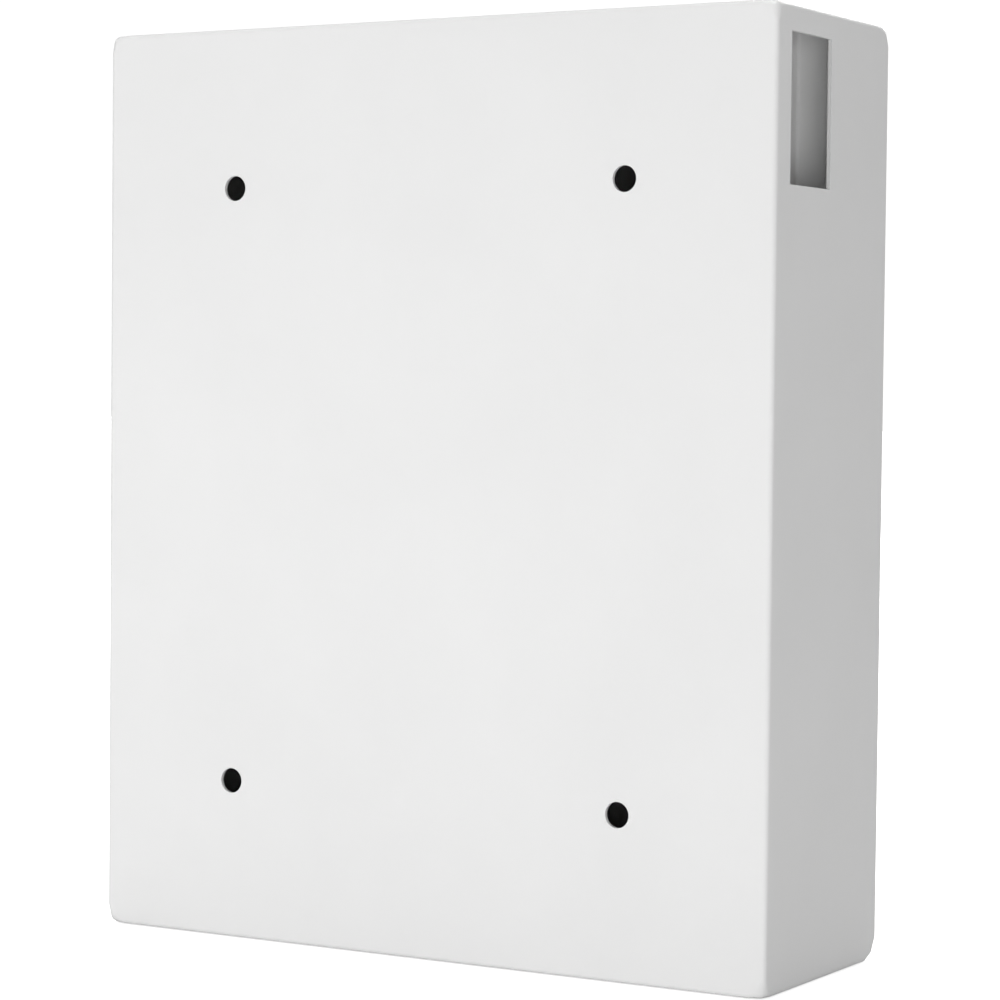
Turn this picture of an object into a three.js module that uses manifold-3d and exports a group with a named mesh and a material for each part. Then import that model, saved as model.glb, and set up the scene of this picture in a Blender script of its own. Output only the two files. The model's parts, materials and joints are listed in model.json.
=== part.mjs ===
// Wall-mounted steel key cabinet: a welded case with a key drop slot in its side, a chute behind
// the slot, six numbered hook bars on two slotted uprights, and an inset door with a cam lock.
// Millimetres. +Z is up, the door faces -Y, and the origin is the centre of the back panel's
// outer face.
import * as THREE from "three";
import { ConvexGeometry } from "three/addons/geometries/ConvexGeometry.js";
import { mergeVertices } from "three/addons/utils/BufferGeometryUtils.js";
import Module from "manifold-3d";

const wasm = await Module();
wasm.setup();

// ---- driving dimensions ----
const CASE = { width: 302, height: 365, depth: 100, sheet: 1.5, bend: 1.75, wrapBend: 2.5, innerBend: 1 };
const GROUND_CORNER = { rear: { top: 3.2, bottom: 3.6 }, front: { top: 4, bottom: 5 }, blend: 4 };
const WALL_HOLES = { radius: 5, spacingX: 177, spacingZ: 238 };
const DROP_SLOT = { behind: 11.75, width: 34.75, below: 10.25, height: 56 };
const RIM = { width: 15.5, lipDepth: 14 };
const DOOR = { gap: 2, depth: 12, sheet: 1.5, bend: 1.5, edgeRadius: 0.25 };
const PIVOT = { inset: 4, pinRadius: 2, holeRadius: 2.1, weldClearance: 0.25, play: 0.5 };
const PIVOT_WASHER = { radius: 3.75, bore: 2.2 };
const PIVOT_BRACKET = { thickness: 2, length: 20, depth: 9, pinClearance: 0.05 };
const DOOR_STOP = { sheet: 1.5, height: 16, behindRim: 2, beyondBumper: 1, upper: 120, lower: -120 };
const BUMPER = { width: 6, height: 12 };
const CHUTE = { inside: 29, reach: 78, sheet: 1, bend: 1.5, bottom: -70, flange: 9 };
const UPRIGHT = { left: -103, right: 127, width: 12, depth: 8, sheet: 1, bend: 1, bottom: -118, top: 170 };
const BAR = { left: -108, right: 132, height: 16, sheet: 1, rows: 6, topRow: 156, rowPitch: 52 };
const HOOK = { perBar: 8, first: -86, pitch: 28, width: 4, reach: 13.5, tip: 7, tilt: 70, bend: 1 };
const HOOK_TONGUE = { stripAbove: 3, overlap: 2 };
const NUMBER_STRIP = { inset: 4, low: -3.5, high: 6.5, thickness: 0.25 };
const LOCK = { x: 109, z: 0, headRadius: 12, headDepth: 3, headEdge: 0.8 };
const BARREL = { radius: 9.5, flats: 16, length: 14.5, clearance: 0.25 };
const LOCK_WASHER = { radius: 12.5, thickness: 1 };
const LOCK_NUT = { radius: 13.5, thickness: 3, clearance: 0.1 };
const PLUG = { radius: 6, clearance: 0.1, length: 15, tail: 6 };
const KEYWAY = { width: 2.5, height: 7.5, depth: 11.5 };
const CAM = { width: 16, reach: 32, thickness: 2, squareClearance: 0.25 };
const CAM_SCREW = { radius: 1.5, holeRadius: 1.75, length: 3, headRadius: 4.5, headDepth: 2.5 };
const KEY = { thickness: 2, blade: 7, bladeLength: 14, neck: 3.5, shoulder: 1.25 };
const KEY_BOW = { radius: 11, overlap: 1.5, ring: 3.5 };
const CARD = { x: -10, width: 170, height: 125, thickness: 0.5, clearance: 0.25 };
const CARD_HOLDER = { lip: 5, wall: 3, spacer: 1, plate: 1, belowCardTop: 10, clearance: 0.5 };
const ARC_STEPS = 4;
const STEPS = { screw: 16, small: 24, large: 32 };
const HEX = 6;
const quarterTurn = Math.PI / 2;

// ---- places that follow from them ----
const sideX = CASE.width / 2;
const topZ = CASE.height / 2;
const frontY = -CASE.depth;
const innerX = sideX - CASE.sheet;
const innerZ = topZ - CASE.sheet;
const rearInnerY = -CASE.sheet;
const rimInnerY = frontY + CASE.sheet;
const openingX = sideX - RIM.width;
const openingZ = topZ - RIM.width;
const lipX = openingX + CASE.sheet;
const lipZ = openingZ + CASE.sheet;
const lipRearY = frontY + RIM.lipDepth;
const doorX = openingX - DOOR.gap;
const doorZ = openingZ - DOOR.gap;
const doorRearY = frontY + DOOR.depth;
const doorInnerY = frontY + DOOR.sheet;
const bumperInnerX = doorX - BUMPER.width;
const pivotX = -doorX + PIVOT.inset;
const pivotY = frontY + PIVOT.inset;
const webY = rearInnerY - UPRIGHT.depth;
const barFaceY = webY - BAR.sheet;

// ---- colours ----
const whiteCoat = { color: 0xe9e9e7, roughness: 0.55, metalness: 0 };
const greyCoat = { color: 0xc9cbcc, roughness: 0.5, metalness: 0 };
const chrome = { color: 0xc8c9cb, roughness: 0.18, metalness: 1 };
const zincSteel = { color: 0xa9adb0, roughness: 0.38, metalness: 1 };
const nickel = { color: 0xb8b3a6, roughness: 0.28, metalness: 1 };
const nylon = { color: 0xf0efe9, roughness: 0.5, metalness: 0 };
const blackRubber = { color: 0x1c1c1d, roughness: 0.85, metalness: 0 };
const clearPlastic = { color: 0xdfe3e5, roughness: 0.25, metalness: 0 };
const paper = { color: 0xf4f2ea, roughness: 0.9, metalness: 0 };

const cabinet = new THREE.Group();
cabinet.name = "key_cabinet";

// ---- helpers ----

// A profile's two coordinates are (x, y) for axis z, (x, z) for axis y and (y, z) for axis x.
function prism(shape, axis, from, to) {
  const geometry = new THREE.ExtrudeGeometry(shape, {
    depth: to - from,
    bevelEnabled: false,
    curveSegments: ARC_STEPS,
  });
  const turn = new THREE.Matrix4();
  const X = new THREE.Vector3(1, 0, 0);
  const Y = new THREE.Vector3(0, 1, 0);
  const Z = new THREE.Vector3(0, 0, 1);
  if (axis === "z") geometry.translate(0, 0, from);
  if (axis === "y") geometry.applyMatrix4(turn.makeBasis(X, Z, Y.negate())).translate(0, to, 0);
  if (axis === "x") geometry.applyMatrix4(turn.makeBasis(Y, Z, X)).translate(from, 0, 0);
  return geometry;
}

function box(x0, x1, y0, y1, z0, z1) {
  const geometry = new THREE.BoxGeometry(x1 - x0, y1 - y0, z1 - z0);
  return geometry.translate((x0 + x1) / 2, (y0 + y1) / 2, (z0 + z1) / 2);
}

function outline(points) {
  return new THREE.Shape(points.map(([u, v]) => new THREE.Vector2(u, v)));
}

function circlePoints(u, v, radius, segments) {
  return Array.from({ length: segments }, (_, i) => {
    const angle = (2 * Math.PI * i) / segments;
    return [u + radius * Math.cos(angle), v + radius * Math.sin(angle)];
  });
}

function circle(u, v, radius, segments) {
  return outline(circlePoints(u, v, radius, segments));
}

function disc(axis, u, v, radius, from, to, segments = STEPS.small) {
  return prism(circle(u, v, radius, segments), axis, from, to);
}

// A rectangle whose corner radii run from the low-u low-v corner anticlockwise.
function roundedRect(u0, v0, u1, v1, [a, b, c, d]) {
  const shape = new THREE.Shape();
  shape.absarc(u0 + a, v0 + a, a, 2 * quarterTurn, 3 * quarterTurn);
  shape.absarc(u1 - b, v0 + b, b, 3 * quarterTurn, 4 * quarterTurn);
  shape.absarc(u1 - c, v1 - c, c, 0, quarterTurn);
  shape.absarc(u0 + d, v1 - d, d, quarterTurn, 2 * quarterTurn);
  return shape;
}

// The outline of a strip of sheet that lies to the left of a path of corners, bent round them.
function foldedSheet(path, thickness, bend) {
  const points = path.map(([u, v]) => new THREE.Vector2(u, v));
  const leftOf = (i) => {
    const along = points[i + 1].clone().sub(points[i]).normalize();
    return new THREE.Vector2(-along.y, along.x);
  };
  const last = points.length - 1;
  const near = [points[0]];
  const far = [points[0].clone().addScaledVector(leftOf(0), thickness)];
  for (let i = 1; i < last; i++) {
    const before = leftOf(i - 1);
    const after = leftOf(i);
    const turn = Math.atan2(before.cross(after), before.dot(after));
    const nearRadius = turn > 0 ? bend + thickness : -bend;
    const centre = before.clone().add(after).multiplyScalar(nearRadius / (1 + before.dot(after)));
    centre.add(points[i]);
    for (let step = 0; step <= ARC_STEPS; step++) {
      const normal = before.clone().rotateAround(new THREE.Vector2(), (turn * step) / ARC_STEPS);
      near.push(centre.clone().addScaledVector(normal, -nearRadius));
      far.push(centre.clone().addScaledVector(normal, thickness - nearRadius));
    }
  }
  near.push(points[last]);
  far.push(points[last].clone().addScaledVector(leftOf(last - 1), thickness));
  return new THREE.Shape([...near, ...far.reverse()]);
}

function solid(geometry) {
  const bare = geometry.index ? geometry.toNonIndexed() : geometry.clone();
  bare.deleteAttribute("normal");
  bare.deleteAttribute("uv");
  const merged = mergeVertices(bare, 1e-4);
  return new wasm.Manifold(
    new wasm.Mesh({
      numProp: 3,
      vertProperties: merged.attributes.position.array,
      triVerts: new Uint32Array(merged.index.array),
    }),
  );
}

const join = (base, ...others) => others.reduce((sum, other) => sum.add(solid(other)), base);
const cut = (base, ...others) => others.reduce((rest, other) => rest.subtract(solid(other)), base);
const common = (base, ...others) => others.reduce((both, next) => both.intersect(solid(next)), base);

// Two heights of the upper side, or the same two mirrored to the lower side, the lower one first.
const between = (side, a, b) => [side * a, side * b].sort((low, high) => low - high);

// Adds a named piece made from a geometry or from a cut solid, raised by z.
function piece(name, shape, finish, z = 0) {
  let geometry = shape;
  if (!shape.isBufferGeometry) {
    const mesh = shape.getMesh();
    geometry = new THREE.BufferGeometry();
    const corners = new THREE.BufferAttribute(new Float32Array(mesh.vertProperties), 3);
    geometry.setAttribute("position", corners);
    geometry.setIndex(new THREE.BufferAttribute(new Uint32Array(mesh.triVerts), 1));
    geometry.computeVertexNormals();
  }
  const mesh = new THREE.Mesh(geometry, new THREE.MeshStandardMaterial(finish));
  mesh.name = name;
  mesh.position.z = z;
  cabinet.add(mesh);
}

// ---- case ----

// A box with rounded edges, the common part of its three rounded outlines. Its rear edges can
// have a radius of their own.
function roundedBox(halfX, halfZ, front, rear, radius, rearRadius = radius) {
  const faceOutline = roundedRect(-halfX, -halfZ, halfX, halfZ, [radius, radius, radius, radius]);
  const planRadii = [radius, radius, rearRadius, rearRadius];
  const planOutline = roundedRect(-halfX, front, halfX, rear, planRadii);
  const sideRadii = [radius, rearRadius, rearRadius, radius];
  const sideOutline = roundedRect(front, -halfZ, rear, halfZ, sideRadii);
  return common(
    solid(prism(faceOutline, "y", front, rear)),
    prism(planOutline, "z", -halfZ, halfZ),
    prism(sideOutline, "x", -halfX, halfX),
  );
}

// An eighth of a ball that touches the three faces of a corner.
function ballPoints(at, radius) {
  const points = [];
  for (let i = 0; i <= ARC_STEPS; i++) {
    const rise = (quarterTurn * i) / ARC_STEPS;
    for (let j = 0; j <= ARC_STEPS; j++) {
      const round = (quarterTurn * j) / ARC_STEPS;
      const acrossX = Math.cos(rise) * Math.cos(round);
      const acrossY = Math.cos(rise) * Math.sin(round);
      points.push(at([radius * (1 - acrossX), radius * (1 - acrossY), radius * (1 - Math.sin(rise))]));
    }
  }
  return points;
}

// The rounded sections of a corner's three edges, at the place where each starts to widen to the ball.
function edgePoints(at, bends, start) {
  const points = [];
  for (let along = 0; along < 3; along++) {
    for (let i = 0; i <= ARC_STEPS; i++) {
      const turn = (quarterTurn * i) / ARC_STEPS;
      const inset = [start, start, start];
      inset[(along + 1) % 3] = bends[along] * (1 - Math.cos(turn));
      inset[(along + 2) % 3] = bends[along] * (1 - Math.sin(turn));
      points.push(at(inset));
    }
  }
  return points;
}

// A case's outside or its hollow: a box with bends for edges, along X, Y and Z, and with corners
// ground rounder than the bends. The thickness is taken off each corner's radius.
function groundBox(halfX, halfZ, front, rear, bends, thickness) {
  const points = [];
  for (const [end, y, inwardY] of [["front", front, 1], ["rear", rear, -1]]) {
    for (const [level, z] of [["top", 1], ["bottom", -1]]) {
      const radius = GROUND_CORNER[end][level] - thickness;
      for (const x of [-1, 1]) {
        const at = ([dx, dy, dz]) => new THREE.Vector3(x * (halfX - dx), y + inwardY * dy, z * (halfZ - dz));
        points.push(...ballPoints(at, radius), ...edgePoints(at, bends, radius + GROUND_CORNER.blend));
      }
    }
  }
  return solid(new ConvexGeometry(points));
}

function caseHollow() {
  const bends = [CASE.innerBend, CASE.innerBend, CASE.innerBend];
  return groundBox(innerX, innerZ, rimInnerY, rearInnerY, bends, CASE.sheet);
}

function makeCase() {
  const past = 1;
  const outside = groundBox(sideX, topZ, frontY, 0, [CASE.bend, CASE.wrapBend, CASE.bend], 0);
  let shell = outside.subtract(caseHollow());
  // The rim's lip is folded back round the door opening.
  shell = join(shell, box(-lipX, lipX, frontY + CASE.sheet / 2, lipRearY, -lipZ, lipZ));
  shell = cut(shell, box(-openingX, openingX, frontY - past, lipRearY + past, -openingZ, openingZ));
  for (const x of [-WALL_HOLES.spacingX / 2, WALL_HOLES.spacingX / 2]) {
    for (const z of [-WALL_HOLES.spacingZ / 2, WALL_HOLES.spacingZ / 2]) {
      shell = cut(shell, disc("y", x, z, WALL_HOLES.radius, rearInnerY - past, past, STEPS.large));
    }
  }
  const slotTop = topZ - DROP_SLOT.below;
  const slotBottom = slotTop - DROP_SLOT.height;
  const slotRear = -DROP_SLOT.behind;
  const slotFront = slotRear - DROP_SLOT.width;
  shell = cut(shell, box(-sideX - past, -innerX + past, slotFront, slotRear, slotBottom, slotTop));
  const pinHole = PIVOT.pinRadius + PIVOT.weldClearance;
  for (const side of [-1, 1]) {
    const ends = between(side, openingZ - past, lipZ + past);
    shell = cut(shell, disc("z", pivotX, pivotY, pinHole, ...ends));
  }
  piece("case_shell", shell, whiteCoat);
}

// A folded sheet inside the case that closes off the space behind the drop slot. Keys fall down
// between it and the side wall, and it keeps a hand or a wire away from the hooks.
function makeChute() {
  const innerWall = -sideX + CHUTE.inside;
  const frontWall = -CHUTE.reach;
  const path = [
    [innerWall + CHUTE.flange + CHUTE.sheet, rearInnerY - CHUTE.sheet],
    [innerWall + CHUTE.sheet, rearInnerY - CHUTE.sheet],
    [innerWall + CHUTE.sheet, frontWall - CHUTE.sheet],
    [-innerX + CHUTE.sheet, frontWall - CHUTE.sheet],
    [-innerX + CHUTE.sheet, frontWall - CHUTE.sheet - CHUTE.flange],
  ];
  // The sheet lies on the right of this path, so the path is run from its other end.
  const plan = foldedSheet(path.reverse(), CHUTE.sheet, CHUTE.bend);
  const sheet = prism(plan, "z", CHUTE.bottom, innerZ);
  piece("drop_chute", common(caseHollow(), sheet), whiteCoat);
}

// ---- door ----

function makeDoor() {
  const past = 1;
  let pan = roundedBox(doorX, doorZ, frontY, doorRearY, DOOR.bend, DOOR.edgeRadius);
  const insideX = doorX - DOOR.sheet;
  const insideZ = doorZ - DOOR.sheet;
  pan = cut(pan, box(-insideX, insideX, doorInnerY, doorRearY + past, -insideZ, insideZ));
  pan = pan.subtract(flattedRound(BARREL.clearance, frontY - past, doorInnerY + past));
  for (const side of [-1, 1]) {
    const ends = between(side, insideZ - past, doorZ + past);
    pan = cut(pan, disc("z", pivotX, pivotY, PIVOT.holeRadius, ...ends));
  }
  piece("door_pan", pan, whiteCoat);
}

// The lock barrel's section, a circle with two flats that keep it from turning in the door.
function flattedRound(clearance, from, to) {
  const radius = BARREL.radius + clearance;
  const flat = BARREL.flats / 2 + clearance;
  const slab = box(LOCK.x - radius, LOCK.x + radius, from, to, LOCK.z - flat, LOCK.z + flat);
  return common(solid(disc("y", LOCK.x, LOCK.z, radius, from, to, STEPS.large)), slab);
}

// A solid turned about Y from (radius, y) points that run from its low end to its high end.
function turned(profile, segments) {
  return new THREE.LatheGeometry(profile.map(([r, y]) => new THREE.Vector2(r, y)), segments);
}

// A round pin along Z with a chamfer at each end.
function pinAlongZ(radius, low, high) {
  const chamfer = 0.5;
  const profile = [
    [0, low],
    [radius - chamfer, low],
    [radius, low + chamfer],
    [radius, high - chamfer],
    [radius - chamfer, high],
    [0, high],
  ];
  return turned(profile, STEPS.small).rotateX(quarterTurn);
}

// Each pivot is a pin welded into a bracket on the rim's lip. It passes through the lip and a
// washer into the door's return.
function makePivots() {
  const past = 1;
  const pinOverhang = { inDoor: 4, pastBracket: 1.5 };
  const bracketTop = lipZ + PIVOT_BRACKET.thickness;
  const left = pivotX - PIVOT_BRACKET.length / 2;
  const right = pivotX + PIVOT_BRACKET.length / 2;
  // The door rests on the lower washer, and the upper one has a little play.
  for (const [level, side, washer] of [["upper", 1, DOOR.gap - PIVOT.play], ["lower", -1, DOOR.gap]]) {
    const rear = rimInnerY + PIVOT_BRACKET.depth;
    const plate = box(left, right, rimInnerY, rear, ...between(side, lipZ, bracketTop));
    const hole = PIVOT.pinRadius + PIVOT_BRACKET.pinClearance;
    const holeEnds = between(side, lipZ - past, bracketTop + past);
    const bracket = cut(solid(plate), disc("z", pivotX, pivotY, hole, ...holeEnds));
    piece(level + "_pivot_bracket", bracket, zincSteel);

    const pinEnds = between(side, doorZ - pinOverhang.inDoor, bracketTop + pinOverhang.pastBracket);
    const pin = pinAlongZ(PIVOT.pinRadius, ...pinEnds).translate(pivotX, pivotY, 0);
    piece(level + "_pivot_pin", pin, zincSteel);

    const washerEnds = between(side, doorZ, doorZ + washer);
    const ring = solid(disc("z", pivotX, pivotY, PIVOT_WASHER.radius, ...washerEnds));
    const bore = disc("z", pivotX, pivotY, PIVOT_WASHER.bore, ...between(side, doorZ - past, lipZ));
    piece(level + "_pivot_washer", cut(ring, bore), nylon);
  }
}

// Angles behind the lip on the lock side stop the door flush with the rim, on rubber blocks.
function makeDoorStops() {
  const sharpBend = 0.001;
  const legX = lipX + DOOR_STOP.sheet;
  const legY = lipRearY + DOOR_STOP.sheet;
  const path = [
    [legX, rimInnerY + DOOR_STOP.behindRim],
    [legX, legY],
    [bumperInnerX - DOOR_STOP.beyondBumper, legY],
  ];
  const plan = foldedSheet(path, DOOR_STOP.sheet, sharpBend);
  for (const level of ["upper", "lower"]) {
    const z = DOOR_STOP[level];
    const halfStop = DOOR_STOP.height / 2;
    const halfBlock = BUMPER.height / 2;
    piece(level + "_door_stop", prism(plan, "z", z - halfStop, z + halfStop), whiteCoat);
    const block = box(bumperInnerX, doorX, doorRearY, lipRearY, z - halfBlock, z + halfBlock);
    piece(level + "_stop_bumper", block, blackRubber);
  }
}

// A pocket on the back of the door: two side channels and a bottom channel hold the index card.
function makeCardHolder() {
  const { lip, wall, spacer, plate, belowCardTop, clearance } = CARD_HOLDER;
  const past = 1;
  const halfWidth = CARD.width / 2 + clearance;
  const bottom = -CARD.height / 2 - clearance;
  const top = CARD.height / 2 - belowCardTop;
  const pocketRear = doorInnerY + spacer;
  const rear = pocketRear + plate;
  const block = (halfX, y0, y1, z0, z1) => box(CARD.x - halfX, CARD.x + halfX, y0, y1, z0, z1);
  const holder = cut(
    solid(block(halfWidth + wall, doorInnerY, rear, bottom - wall, top)),
    block(halfWidth, doorInnerY - past, pocketRear, bottom, top + past),
    block(halfWidth - lip, doorInnerY - past, rear + past, bottom + lip, top + past),
  );
  piece("card_holder", holder, clearPlastic);
  const cardY = doorInnerY + CARD.clearance;
  const halfHeight = CARD.height / 2;
  const card = block(CARD.width / 2, cardY, cardY + CARD.thickness, -halfHeight, halfHeight);
  piece("index_card", card, paper);
}

// ---- cam lock ----

function makeLock() {
  const past = 1;
  const headFront = frontY - LOCK.headDepth;
  const barrelRear = frontY + BARREL.length;
  const plugRear = frontY + PLUG.length;
  const camRear = plugRear + CAM.thickness;
  const atLock = (radius, from, to, steps = STEPS.large) =>
    disc("y", LOCK.x, LOCK.z, radius, from, to, steps);
  const squareAtLock = (half, from, to, halfZ = half) =>
    box(LOCK.x - half, LOCK.x + half, from, to, LOCK.z - halfZ, LOCK.z + halfZ);

  const headProfile = [
    [0, headFront],
    [LOCK.headRadius - LOCK.headEdge, headFront],
    [LOCK.headRadius, headFront + LOCK.headEdge],
    [LOCK.headRadius, frontY],
    [0, frontY],
  ];
  const head = turned(headProfile, STEPS.large).translate(LOCK.x, 0, LOCK.z);
  const barrel = flattedRound(0, headFront + past, barrelRear);
  const bore = atLock(PLUG.radius + PLUG.clearance, headFront - past, barrelRear + past, STEPS.small);
  piece("lock_body", cut(join(barrel, head), bore), chrome);

  const nutFront = doorInnerY + LOCK_WASHER.thickness;
  const nutRear = nutFront + LOCK_NUT.thickness;
  const washer = solid(atLock(LOCK_WASHER.radius, doorInnerY, nutFront));
  const washerBore = atLock(BARREL.radius + BARREL.clearance, doorInnerY - past, nutFront + past);
  piece("lock_washer", cut(washer, washerBore), zincSteel);
  const nut = solid(atLock(LOCK_NUT.radius, nutFront, nutRear, HEX));
  const nutBore = atLock(BARREL.radius + LOCK_NUT.clearance, nutFront - past, nutRear + past);
  piece("lock_nut", cut(nut, nutBore), zincSteel);

  const keywayRear = frontY + KEYWAY.depth;
  const keyway = squareAtLock(KEYWAY.width / 2, headFront - past, keywayRear, KEYWAY.height / 2);
  const halfTail = PLUG.tail / 2;
  const tail = squareAtLock(halfTail, plugRear - past, camRear - CAM.squareClearance);
  const screwFront = camRear - CAM_SCREW.length;
  const threadFront = screwFront - CAM.squareClearance;
  const threaded = atLock(CAM_SCREW.holeRadius, threadFront, camRear + past, STEPS.screw);
  const plug = join(solid(atLock(PLUG.radius, headFront, plugRear, STEPS.small)), tail);
  piece("lock_plug", cut(plug, keyway, threaded), chrome);

  // The cam hangs down while the door is free, and turns sideways behind the lip to lock it.
  const camOutline = new THREE.Shape();
  const camHalf = CAM.width / 2;
  camOutline.absarc(LOCK.x, LOCK.z, camHalf, 0, Math.PI);
  camOutline.absarc(LOCK.x, LOCK.z - CAM.reach + camHalf, camHalf, Math.PI, 2 * Math.PI);
  const square = squareAtLock(halfTail + CAM.squareClearance, plugRear - past, camRear + past);
  piece("lock_cam", cut(solid(prism(camOutline, "y", plugRear, camRear)), square), zincSteel);

  const shank = solid(atLock(CAM_SCREW.radius, screwFront, camRear + past, STEPS.screw));
  const screwHead = atLock(CAM_SCREW.headRadius, camRear, camRear + CAM_SCREW.headDepth, HEX);
  piece("cam_screw", join(shank, screwHead), zincSteel);
}

// The key stands upright in the plug's keyway, its shoulder just clear of the plug's face.
function makeKey() {
  const shoulderClearance = 0.25;
  const tip = { half: 1, slope: 2.5 };
  const bitting = { first: 2.5, pitch: 2.25, halfTop: 1, halfFloor: 0.25 };
  const bittingDepths = [1.5, 2.25, 1, 1.75, 0.75];
  const half = KEY.blade / 2;
  const neckHalf = half + KEY.shoulder;
  const shoulderY = frontY - LOCK.headDepth - shoulderClearance;
  const tipY = shoulderY + KEY.bladeLength;
  const neckY = shoulderY - KEY.neck;
  const bowY = neckY - KEY_BOW.radius + KEY_BOW.overlap;
  const profile = [
    [tipY, tip.half],
    [tipY, -tip.half],
    [tipY - tip.slope, -half],
    [shoulderY, -half],
    [shoulderY, -neckHalf],
    [neckY, -neckHalf],
    [neckY, neckHalf],
    [shoulderY, neckHalf],
    [shoulderY, half],
  ];
  bittingDepths.forEach((depth, i) => {
    const y = shoulderY + bitting.first + i * bitting.pitch;
    const floor = half - depth;
    profile.push([y - bitting.halfTop, half], [y - bitting.halfFloor, floor]);
    profile.push([y + bitting.halfFloor, floor], [y + bitting.halfTop, half]);
  });
  const left = LOCK.x - KEY.thickness / 2;
  const right = LOCK.x + KEY.thickness / 2;
  const blade = prism(outline(profile), "x", left, right).translate(0, 0, LOCK.z);
  const bow = disc("x", bowY, LOCK.z, KEY_BOW.radius, left, right, STEPS.large);
  const ringHole = disc("x", bowY - KEY_BOW.radius / 2, LOCK.z, KEY_BOW.ring, left - 1, right + 1);
  piece("cabinet_key", cut(join(solid(blade), bow), ringHole), nickel);
}

// ---- key hooks ----

const rowZ = (row) => BAR.topRow - row * BAR.rowPitch;

// Channels on the back panel with a slot for each place a hook bar can hang.
function makeUprights() {
  const slot = { halfWidth: 1, below: 3.25, above: 7.5, pitch: BAR.rowPitch / 2 };
  const half = UPRIGHT.width / 2;
  for (const side of ["left", "right"]) {
    const x = UPRIGHT[side];
    const path = [
      [x - half, rearInnerY],
      [x - half, webY],
      [x + half, webY],
      [x + half, rearInnerY],
    ];
    const channel = foldedSheet(path, UPRIGHT.sheet, UPRIGHT.bend);
    let upright = solid(prism(channel, "z", UPRIGHT.bottom, UPRIGHT.top));
    const [left, right] = [x - slot.halfWidth, x + slot.halfWidth];
    const [front, rear] = [webY - UPRIGHT.sheet, webY + 2 * UPRIGHT.sheet];
    for (let z = rowZ(BAR.rows - 1); z <= rowZ(0); z += slot.pitch) {
      upright = cut(upright, box(left, right, front, rear, z - slot.below, z + slot.above));
    }
    piece(side + "_upright", upright, greyCoat);
  }
}

// One hook bar at height 0: a strip, its hooks and the tabs it hangs by. A hook is a tongue of
// the strip's lower edge, bent forward and then up.
function hookBar() {
  const tilt = THREE.MathUtils.degToRad(HOOK.tilt);
  const lowZ = -BAR.height / 2;
  const stripLowZ = lowZ + HOOK_TONGUE.stripAbove;
  const frontEnd = webY - HOOK.reach - BAR.sheet;
  const tip = [frontEnd - HOOK.tip * Math.cos(tilt), lowZ + HOOK.tip * Math.sin(tilt)];
  const hookPath = [tip, [frontEnd, lowZ], [webY, lowZ], [webY, stripLowZ + HOOK_TONGUE.overlap]];
  const hookProfile = foldedSheet(hookPath, BAR.sheet, HOOK.bend);
  // A tab goes through the upright's slot and drops behind its web.
  const tab = { half: 0.75, top: 3, low: -3, hookLow: -7, throat: webY + 1.5, rear: webY + 3.5 };
  const tabFront = webY - BAR.sheet / 2;
  const tabProfile = outline([
    [tabFront, tab.low],
    [tab.throat, tab.low],
    [tab.throat, tab.hookLow],
    [tab.rear, tab.hookLow],
    [tab.rear, tab.top],
    [tabFront, tab.top],
  ]);
  let bar = solid(box(BAR.left, BAR.right, barFaceY, webY, stripLowZ, -lowZ));
  for (let i = 0; i < HOOK.perBar; i++) {
    const x = HOOK.first + i * HOOK.pitch;
    bar = join(bar, prism(hookProfile, "x", x - HOOK.width / 2, x + HOOK.width / 2));
  }
  for (const x of [UPRIGHT.left, UPRIGHT.right]) {
    bar = join(bar, prism(tabProfile, "x", x - tab.half, x + tab.half));
  }
  return bar;
}

function makeHookBars() {
  const bar = hookBar();
  const left = BAR.left + NUMBER_STRIP.inset;
  const right = BAR.right - NUMBER_STRIP.inset;
  const front = barFaceY - NUMBER_STRIP.thickness;
  const strip = box(left, right, front, barFaceY, NUMBER_STRIP.low, NUMBER_STRIP.high);
  for (let row = 0; row < BAR.rows; row++) {
    piece("hook_bar_" + (row + 1), bar, greyCoat, rowZ(row));
    piece("number_strip_" + (row + 1), strip, paper, rowZ(row));
  }
}

makeCase();
makeChute();
makeDoor();
makePivots();
makeDoorStops();
makeCardHolder();
makeLock();
makeKey();
makeUprights();
makeHookBars();

export default cabinet;
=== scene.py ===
import json
import math

import bmesh
import bpy
from mathutils import Matrix, Vector


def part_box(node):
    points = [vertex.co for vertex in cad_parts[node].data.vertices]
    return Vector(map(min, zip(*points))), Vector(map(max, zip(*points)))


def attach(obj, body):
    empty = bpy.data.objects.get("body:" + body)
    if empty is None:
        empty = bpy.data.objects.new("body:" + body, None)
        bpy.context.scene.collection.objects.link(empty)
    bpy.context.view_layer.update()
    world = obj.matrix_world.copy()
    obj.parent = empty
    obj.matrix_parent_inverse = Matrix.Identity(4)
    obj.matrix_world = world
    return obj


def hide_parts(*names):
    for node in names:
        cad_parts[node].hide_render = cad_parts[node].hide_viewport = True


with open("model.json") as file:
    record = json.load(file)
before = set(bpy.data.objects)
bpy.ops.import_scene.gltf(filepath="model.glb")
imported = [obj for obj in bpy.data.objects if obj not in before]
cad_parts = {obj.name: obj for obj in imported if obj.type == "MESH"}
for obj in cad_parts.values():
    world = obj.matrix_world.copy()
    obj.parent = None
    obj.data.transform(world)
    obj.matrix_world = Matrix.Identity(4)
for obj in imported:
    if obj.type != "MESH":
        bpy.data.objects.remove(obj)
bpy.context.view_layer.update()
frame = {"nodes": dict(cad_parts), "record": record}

MM = 0.001
NODES = frame["nodes"]
BODY_OF = {n: body for body, names in frame["record"]["behaviour"]["bodies"].items() for n in names}
SLOT_OF = {row["node"]: row["material_slot"] for row in frame["record"]["subparts"]}

# ---------------------------------------------------------------- camera

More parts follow.
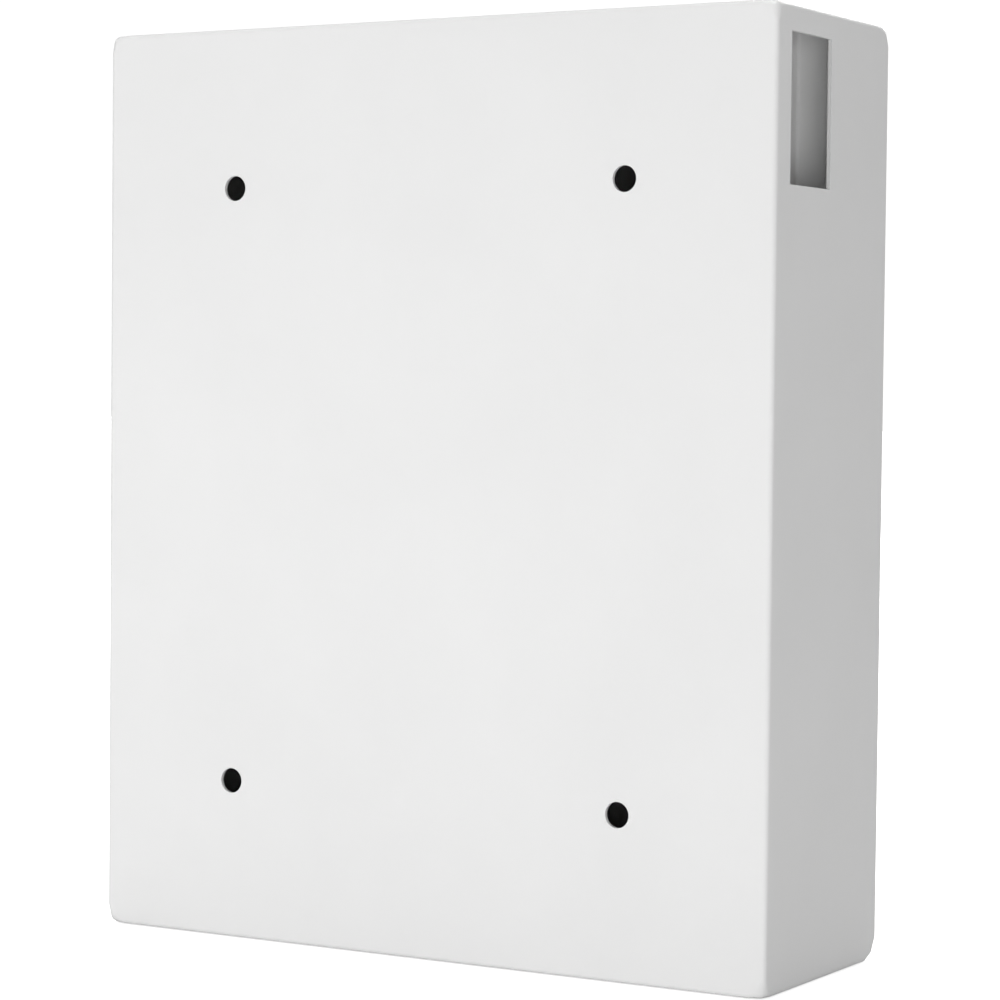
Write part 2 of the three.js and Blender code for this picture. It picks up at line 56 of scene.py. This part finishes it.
# Angles in degrees, place in metres, lens in millimetres on a 36 mm wide sensor.
CAMERA_AZIMUTH = 210.08
CAMERA_ELEVATION = 2.469
CAMERA_ROLL = 0.608
CAMERA_PLACE = Vector((-0.6455, 1.0281, 0.0449))
CAMERA_LENS = 112.71
CAMERA_SHIFT = (-0.0312, 0.012)


def make_camera():
    """A long lens that looks at the cabinet's back and at the side with the drop slot."""
    data = bpy.data.cameras.new("camera")
    data.lens = CAMERA_LENS
    data.sensor_width = 36
    data.shift_x, data.shift_y = CAMERA_SHIFT
    data.clip_start, data.clip_end = 0.05, 50
    camera = bpy.data.objects.new("camera", data)
    bpy.context.scene.collection.objects.link(camera)
    azimuth, elevation = math.radians(CAMERA_AZIMUTH), math.radians(CAMERA_ELEVATION)
    away = Vector(
        (
            math.sin(azimuth) * math.cos(elevation),
            -math.cos(azimuth) * math.cos(elevation),
            math.sin(elevation),
        )
    )
    turn = away.to_track_quat("Z", "Y").to_matrix().to_4x4()
    roll = Matrix.Rotation(math.radians(CAMERA_ROLL), 4, "Z")
    camera.matrix_world = Matrix.Translation(CAMERA_PLACE) @ turn @ roll
    bpy.context.scene.camera = camera


# ---------------------------------------------------------------- materials


class Nodes:
    """A material's node tree, built with short calls."""

    def __init__(self, name):
        self.material = bpy.data.materials.new(name)
        self.material.use_nodes = True
        self.tree = self.material.node_tree
        self.shader = self.tree.nodes["Principled BSDF"]
        self.place = self.add("ShaderNodeTexCoord").outputs["Object"]

    def add(self, kind, **values):
        """A new node with the given properties."""
        node = self.tree.nodes.new(kind)
        for key, value in values.items():
            setattr(node, key, value)
        return node

    def link(self, source, target):
        self.tree.links.new(source, target)

    def set(self, **values):
        """Sets constants on the main shader's sockets, with _ for a space in their names."""
        for key, value in values.items():
            self.shader.inputs[key.replace("_", " ")].default_value = value

    def noise(self, scale, detail=2.0, roughness=0.5, stretch=None):
        """Noise in the object's own space, in cells per metre, stretched along its axes if asked."""
        texture = self.add("ShaderNodeTexNoise")
        texture.inputs["Scale"].default_value = scale
        texture.inputs["Detail"].default_value = detail
        texture.inputs["Roughness"].default_value = roughness
        place = self.place
        if stretch:
            mapping = self.add("ShaderNodeMapping")
            mapping.inputs["Scale"].default_value = stretch
            self.link(self.place, mapping.inputs["Vector"])
            place = mapping.outputs["Vector"]
        self.link(place, texture.inputs["Vector"])
        return texture.outputs["Fac"]

    def spread(self, source, low, high, start=0.3, end=0.7):
        """The source's middle range, mapped to low..high."""
        node = self.add("ShaderNodeMapRange")
        node.inputs["From Min"].default_value = start
        node.inputs["From Max"].default_value = end
        node.inputs["To Min"].default_value = low
        node.inputs["To Max"].default_value = high
        self.link(source, node.inputs["Value"])
        return node.outputs["Result"]

    def mix(self, fac, first, second):
        """A colour between two, each a constant or a socket."""
        node = self.add("ShaderNodeMix", data_type="RGBA")
        self.link(fac, node.inputs["Factor"])
        # The node has several inputs and outputs of the same name. These are the colour ones.
        for socket, value in ((node.inputs[6], first), (node.inputs[7], second)):
            if isinstance(value, (tuple, list)):
                socket.default_value = (*value, 1)
            else:
                self.link(value, socket)
        return node.outputs[2]

    def bump(self, height, distance, strength, below=None):
        """Surface relief of a depth in metres, on top of another relief if given."""
        node = self.add("ShaderNodeBump")
        node.inputs["Distance"].default_value = distance
        node.inputs["Strength"].default_value = strength
        self.link(height, node.inputs["Height"])
        if below is not None:
            self.link(below, node.inputs["Normal"])
        return node.outputs["Normal"]

    def finish(self, colour, roughness=None, normal=None):
        """Links the sockets that are given to the main shader, and returns the material."""
        for name, source in (("Base Color", colour), ("Roughness", roughness), ("Normal", normal)):
            if source is not None:
                self.link(source, self.shader.inputs[name])
        return self.material


def shade(colour, factor):
    """The colour made darker or lighter, and never brighter than white."""
    return tuple(min(1.0, channel * factor) for channel in colour)


def powder_coat(name, colour, rough=0.46):
    """Textured powder coat: a fine orange peel, faint mottling and a satin sheen."""
    n = Nodes(name)
    mottle = n.spread(n.noise(14, 3), 0, 1)
    speckle = n.spread(n.noise(2200, 2), 0, 1)
    tone = n.mix(mottle, shade(colour, 0.985), shade(colour, 1.012))
    tone = n.mix(n.spread(speckle, 0, 0.035), tone, shade(colour, 0.8))
    sheen = n.spread(n.noise(900, 2), rough - 0.05, rough + 0.06)
    peel = n.bump(n.noise(650, 3, 0.55), 0.00004, 0.55)
    grain = n.bump(n.noise(2600, 2), 0.000012, 0.5, below=peel)
    n.set(IOR=1.5)
    return n.finish(tone, sheen, grain)


def plated(name, colour, rough, brush=None):
    """Plated metal: fine scratches, drawn out along the brushed axis, and cloudy brightness."""
    n = Nodes(name)
    cloud = n.spread(n.noise(60, 3), 0, 1)
    scratch = n.noise(900, 3, 0.6, stretch=brush)
    tone = n.mix(cloud, shade(colour, 0.93), shade(colour, 1.04))
    sheen = n.spread(scratch, rough * 0.8, rough * 1.35)
    n.set(Metallic=1.0)
    return n.finish(tone, sheen, n.bump(scratch, 0.000006, 0.5))


def moulded(name, colour, rough, spread=0.05, bump=0.00001):
    """Moulded plastic or rubber, with a faint surface grain."""
    n = Nodes(name)
    grain = n.noise(1500, 2)
    tone = n.mix(n.spread(n.noise(80, 2), 0, 1), shade(colour, 0.96), shade(colour, 1.03))
    sheen = n.spread(grain, rough - spread, rough + spread)
    return n.finish(tone, sheen, n.bump(grain, bump, 0.5))


def paper_sheet(name, colour):
    """Matt paper with a faint fibre."""
    n = Nodes(name)
    fibre = n.noise(3000, 3, 0.65)
    tone = n.mix(n.spread(fibre, 0, 1), shade(colour, 0.95), shade(colour, 1.02))
    n.set(Roughness=0.85)
    return n.finish(tone, None, n.bump(fibre, 0.00001, 0.4))


def make_materials():
    """One material for each slot of the record, and two inks."""
    return {
        "white_coat": powder_coat("white_powder_coat", (0.82, 0.82, 0.818)),
        "grey_coat": powder_coat("grey_powder_coat", (0.60, 0.61, 0.62), 0.42),
        "zinc_steel": plated("zinc_plate", (0.63, 0.65, 0.68), 0.34),
        "lock_chrome": plated("bright_chrome", (0.80, 0.80, 0.81), 0.12),
        "key_nickel": plated("nickel_plate", (0.72, 0.69, 0.63), 0.26, brush=(1, 0.05, 1)),
        "white_nylon": moulded("natural_nylon", (0.87, 0.86, 0.81), 0.42),
        "black_rubber": moulded("black_rubber", (0.025, 0.025, 0.026), 0.75, 0.08, 0.00003),
        "holder_plastic": moulded("pale_plastic", (0.72, 0.74, 0.76), 0.35),
        "index_paper": paper_sheet("index_card_paper", (0.90, 0.88, 0.82)),
        "label_vinyl": moulded("label_vinyl", (0.90, 0.90, 0.88), 0.38),
        "printing_ink": moulded("printing_ink", (0.02, 0.02, 0.022), 0.5),
        "line_ink": moulded("line_ink", (0.30, 0.31, 0.33), 0.6),
    }


MATERIALS = make_materials()


# ---------------------------------------------------------------- pieces

# Faces within the first angle are one flat face, edges over the second are rounded, and edges
# over the third are shaded sharp.
FLAT_LIMIT = math.radians(0.6)
SHARP_LIMIT = math.radians(35)
SMOOTH_LIMIT = math.radians(32)
MERGE_DISTANCE = 1e-6
# The thickness of print, in millimetres.
PRINT_DEPTH = 0.03


def smooth_faces(mesh):
    """Marks every face smooth and every edge sharper than the limit sharp."""
    work = bmesh.new()
    work.from_mesh(mesh)
    for face in work.faces:
        face.smooth = True
    for edge in work.edges:
        edge.smooth = len(edge.link_faces) == 2 and edge.calc_face_angle(0) < SMOOTH_LIMIT
    work.to_mesh(mesh)
    work.free()


def place_piece(name, mesh, body, slot, material=None):
    """Puts a finished mesh in the scene, on a body and in a material slot of the record."""
    piece = bpy.data.objects.new(name, mesh)
    bpy.context.scene.collection.objects.link(piece)
    mesh.materials.clear()
    mesh.materials.append(MATERIALS[material or slot])
    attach(piece, body)
    return piece


def keep_faces_flat(piece):
    """Keeps the shading of large faces flat where small rounded ones meet them."""
    normals = piece.modifiers.new("flat_faces", "WEIGHTED_NORMAL")
    normals.keep_sharp = True


def round_edges(work, bevel, segments):
    """Merges the triangles of flat faces, then rounds every edge sharper than the limit."""
    bmesh.ops.remove_doubles(work, verts=work.verts, dist=MERGE_DISTANCE)
    bmesh.ops.dissolve_limit(work, angle_limit=FLAT_LIMIT, verts=work.verts, edges=work.edges)
    sharp = [e for e in work.edges if len(e.link_faces) == 2 and e.calc_face_angle(0) > SHARP_LIMIT]
    bmesh.ops.bevel(
        work,
        geom=sharp,
        offset=bevel * MM,
        segments=segments,
        profile=0.5,
        affect="EDGES",
        clamp_overlap=True,
    )


def refined(node, bevel, segments=2, cutters=()):
    """A CAD node's shape, cut by further solids if it has any, with its sharp edges rounded."""
    mesh = NODES[node].data.copy()
    for cutter in cutters:
        mesh = cut_mesh(mesh, cutter)
    work = bmesh.new()
    work.from_mesh(mesh)
    round_edges(work, bevel, segments)
    work.to_mesh(mesh)
    work.free()
    smooth_faces(mesh)
    piece = place_piece(node + "_fine", mesh, BODY_OF[node], SLOT_OF[node])
    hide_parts(node)
    keep_faces_flat(piece)


def evaluated_mesh(holder):
    """A new mesh with the object's modifiers or text made real."""
    return bpy.data.meshes.new_from_object(holder.evaluated_get(bpy.context.evaluated_depsgraph_get()))


def cut_mesh(base, cutter):
    """A new mesh: the base cut by the cutter."""
    holders = []
    for mesh in (base, cutter):
        holder = bpy.data.objects.new("boolean_holder", mesh)
        bpy.context.scene.collection.objects.link(holder)
        holders.append(holder)
    modifier = holders[0].modifiers.new("boolean", "BOOLEAN")
    modifier.operation = "DIFFERENCE"
    modifier.object = holders[1]
    modifier.solver = "EXACT"
    result = evaluated_mesh(holders[0])
    for holder in holders:
        bpy.data.objects.remove(holder)
    return result


def box_mesh(low, high):
    """A closed box between two corners, in millimetres."""
    work = bmesh.new()
    bmesh.ops.create_cube(work, size=1)
    size = Vector(high) - Vector(low)
    centre = (Vector(high) + Vector(low)) / 2
    for vertex in work.verts:
        vertex.co = Vector(a * b for a, b in zip(vertex.co, size)) + centre
        vertex.co *= MM
    mesh = bpy.data.meshes.new("box")
    work.to_mesh(mesh)
    work.free()
    return mesh


def box_mm(node):
    """A CAD node's two corners, in millimetres."""
    low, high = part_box(node)
    return low / MM, high / MM


def printed(name, words, body, slot, size):
    """Thin raised print. Words are (text, x, y, z, facing): places in millimetres, and the side,
    -1 or 1 along Y, that the word is read from."""
    work = bmesh.new()
    for text, x, y, z, facing in words:
        curve = bpy.data.curves.new("print", "FONT")
        curve.body = text
        curve.size = size * MM
        curve.extrude = PRINT_DEPTH * MM / 2
        curve.align_x, curve.align_y = "CENTER", "CENTER"
        curve.resolution_u = 3
        holder = bpy.data.objects.new("print", curve)
        bpy.context.scene.collection.objects.link(holder)
        mesh = evaluated_mesh(holder)
        turn = Matrix.Rotation(math.radians(90), 4, "X")
        if facing > 0:
            turn = Matrix.Rotation(math.radians(180), 4, "Z") @ turn
        mesh.transform(Matrix.Translation(Vector((x, y, z)) * MM) @ turn)
        work.from_mesh(mesh)
        bpy.data.objects.remove(holder)
        bpy.data.meshes.remove(mesh)
    mesh = bpy.data.meshes.new(name)
    work.to_mesh(mesh)
    work.free()
    place_piece(name, mesh, body, slot, "printing_ink")


def make_case_pieces():
    """The shell, the chute, and the pivots and stops that carry the door."""
    refined("case_shell", 0.3)
    refined("drop_chute", 0.2)
    for level in ("upper", "lower"):
        refined(level + "_pivot_bracket", 0.3)
        refined(level + "_pivot_pin", 0.15)
        refined(level + "_pivot_washer", 0.2)
        refined(level + "_door_stop", 0.25)
        refined(level + "_stop_bumper", 0.8, 3)


def make_door_pieces():
    """The door, with the index card's holder and the card itself."""
    refined("door_pan", 0.25)
    refined("card_holder", 0.25)
    refined("index_card", 0.05, 1)


# The hooks' places along a bar, in millimetres, and the height of their numbers.
HOOKS_PER_BAR = 8
FIRST_HOOK = -86
HOOK_PITCH = 28
BAR_ROWS = 6
HOOK_NUMBER_SIZE = 6.5


def make_key_rack():
    """The uprights, the hook bars and the numbered strips on them."""
    for side in ("left", "right"):
        refined(side + "_upright", 0.2)
    for row in range(BAR_ROWS):
        number = row + 1
        refined(f"hook_bar_{number}", 0.25)
        strip = f"number_strip_{number}"
        refined(strip, 0.05, 1)
        low, high = box_mm(strip)
        words = []
        for hook in range(HOOKS_PER_BAR):
            text = str(row * HOOKS_PER_BAR + hook + 1)
            words.append((text, FIRST_HOOK + hook * HOOK_PITCH, low.y, (low.z + high.z) / 2, -1))
        printed(f"numbers_{number}", words, "case", "label_vinyl", HOOK_NUMBER_SIZE)


def make_lock_pieces():
    """The cam lock and its key."""
    for node, bevel in (("lock_body", 0.25), ("lock_plug", 0.2), ("lock_washer", 0.2), ("lock_nut", 0.35)):
        refined(node, bevel)
    refined("lock_cam", 0.3)
    refined("cam_screw", 0.3)
    make_key()


# The groove's depth into the blade, its lower and upper edges and its length, in millimetres.
GROOVE = {"depth": 0.45, "bottom": -1, "top": 0.2, "length": 18}


def make_key():
    """The key, with a groove milled along each side of its blade."""
    low, high = box_mm("cabinet_key")
    past = 1
    start, end = high.y - GROOVE["length"], high.y + past
    sides = ((low.x - past, low.x + GROOVE["depth"]), (high.x - GROOVE["depth"], high.x + past))
    cutters = [box_mesh((x0, start, GROOVE["bottom"]), (x1, end, GROOVE["top"])) for x0, x1 in sides]
    refined("cabinet_key", 0.25, cutters=cutters)


# The index card's layout, in millimetres.
CARD_COLUMNS = 3
CARD_ROWS = 16
CARD_NUMBER_WIDTH = 10
CARD_NUMBER_SIZE = 4
CARD_LINE = 0.25
CARD_MARGIN = {"side": 8, "top": 12, "bottom": 7}


def ruled_lines(name, bars, y, body, slot):
    """Thin raised lines in the plane at y. Bars are (x0, x1, z0, z1) in millimetres."""
    work = bmesh.new()
    for x0, x1, z0, z1 in bars:
        bar = box_mesh((x0, y - PRINT_DEPTH / 2, z0), (x1, y + PRINT_DEPTH / 2, z1))
        work.from_mesh(bar)
        bpy.data.meshes.remove(bar)
    mesh = bpy.data.meshes.new(name)
    work.to_mesh(mesh)
    work.free()
    place_piece(name, mesh, body, slot, "line_ink")


def make_card_print():
    """Key numbers in ruled columns on the index card."""
    low, high = box_mm("index_card")
    left, right = low.x + CARD_MARGIN["side"], high.x - CARD_MARGIN["side"]
    bottom, top = low.z + CARD_MARGIN["bottom"], high.z - CARD_MARGIN["top"]
    pitch_x = (right - left) / CARD_COLUMNS
    pitch_z = (top - bottom) / CARD_ROWS
    half = CARD_LINE / 2
    bars = []
    for row in range(CARD_ROWS + 1):
        z = top - row * pitch_z
        bars.append((left, right, z - half, z + half))
    for column in range(CARD_COLUMNS + 1):
        edge = left + column * pitch_x
        for x in sorted({edge, max(left, edge - CARD_NUMBER_WIDTH)}):
            bars.append((x - half, x + half, bottom, top))
    ruled_lines("card_lines", bars, high.y, BODY_OF["index_card"], "index_paper")
    words = []
    for column in range(CARD_COLUMNS):
        # The card is read from inside the cabinet, from +Y, so its columns run towards -X.
        x = right - column * pitch_x - CARD_NUMBER_WIDTH / 2
        for row in range(CARD_ROWS):
            number = column * CARD_ROWS + row + 1
            words.append((str(number), x, high.y, top - (row + 0.5) * pitch_z, 1))
    printed("card_numbers", words, BODY_OF["index_card"], "index_paper", CARD_NUMBER_SIZE)


# ---------------------------------------------------------------- studio

# What the camera sees of the room and the floor, and what they give to the object.
ROOM_WHITE = 1.05
ROOM_LIGHT = 0.15
FLOOR_WHITE = ((0.965, 0.965, 0.965), (0.98, 0.98, 0.98))
FLOOR_GLOW = 0.75
FLOOR_BOUNCE = (0.69, 0.69, 0.69)
FLOOR_SIZE = 12
# The floor lies just under the case, so that the two faces don't touch.
FLOOR_GAP = 0.0004

SUN = {"strength": 2.1, "spread": 40}
# Name, place, target, side and power of each square light.
SOFTBOXES = (
    ("rear_softbox", (1.3, 2.0, -0.05), (0.05, 0, 0), 1.2, 18.5),
    ("slot_side_softbox", (-1.6, 1.9, -0.27), (0, 0, 0), 1.0, 21.6),
    ("front_softbox", (0.7, -3.2, 1.2), (0, 0, 0), 1.4, 62),
)
SPOT = {"place": (0.5, 2.3, 0.12), "target": (0.05, 0, 0.03), "cone": 15, "radius": 0.3, "power": 16}


def make_floor():
    """A plain white floor. Only the camera sees its glow, and it lights the object from below
    as a greyer one would, so that the object's underside stays darker than its sides."""
    work = bmesh.new()
    bmesh.ops.create_grid(work, x_segments=1, y_segments=1, size=FLOOR_SIZE)
    mesh = bpy.data.meshes.new("floor")
    work.to_mesh(mesh)
    work.free()
    floor = bpy.data.objects.new("floor", mesh)
    bpy.context.scene.collection.objects.link(floor)
    floor.location = (0, 0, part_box("case_shell")[0].z - FLOOR_GAP)
    n = Nodes("floor_white")
    seen = n.add("ShaderNodeLightPath").outputs["Is Camera Ray"]
    tone = n.mix(n.spread(n.noise(6), 0, 1), *FLOOR_WHITE)
    n.link(n.spread(seen, 0, FLOOR_GLOW, 0, 1), n.shader.inputs["Emission Strength"])
    n.set(Roughness=0.95, Specular_IOR_Level=0)
    mesh.materials.append(n.finish(n.mix(seen, FLOOR_BOUNCE, tone)))
    floor.visible_glossy = False
    floor.visible_shadow = False


def add_light(name, kind, power, place=(0, 0, 0), target=(0, 0, -1)):
    """A light that points from its place to its target. Returns its data."""
    data = bpy.data.lights.new(name, kind)
    data.energy = power
    light = bpy.data.objects.new(name, data)
    bpy.context.scene.collection.objects.link(light)
    light.location = place
    direction = Vector(target) - Vector(place)
    light.rotation_mode = "QUATERNION"
    light.rotation_quaternion = direction.to_track_quat("-Z", "Y")
    return data


def make_lights():
    """A soft sun from straight above, a softbox on each lit side and a soft pool on the back."""
    sun = add_light("overhead_light", "SUN", SUN["strength"])
    sun.angle = math.radians(SUN["spread"])
    for name, place, target, side, power in SOFTBOXES:
        softbox = add_light(name, "AREA", power, place, target)
        softbox.shape = "SQUARE"
        softbox.size = side
    spot = add_light("rear_spot", "SPOT", SPOT["power"], SPOT["place"], SPOT["target"])
    spot.spot_size = math.radians(SPOT["cone"])
    spot.spot_blend = 1
    spot.shadow_soft_size = SPOT["radius"]


def make_world():
    """A dim grey room that shows as plain white behind the object."""
    world = bpy.data.worlds.new("studio")
    bpy.context.scene.world = world
    world.use_nodes = True
    tree = world.node_tree
    seen = tree.nodes.new("ShaderNodeLightPath").outputs["Is Camera Ray"]
    strength = tree.nodes.new("ShaderNodeMapRange")
    strength.inputs["To Min"].default_value = ROOM_LIGHT
    strength.inputs["To Max"].default_value = ROOM_WHITE
    tree.links.new(seen, strength.inputs["Value"])
    background = tree.nodes["Background"]
    background.inputs["Color"].default_value = (1, 1, 1, 1)
    tree.links.new(strength.outputs["Result"], background.inputs["Strength"])


def make_studio():
    """The camera, room, floor and lights, with plain colours."""
    scene = bpy.context.scene
    scene.view_settings.view_transform = "Standard"
    scene.view_settings.look = "None"
    make_camera()
    make_world()
    make_floor()
    make_lights()


make_studio()
make_case_pieces()
make_door_pieces()
make_card_print()
make_lock_pieces()
make_key_rack()
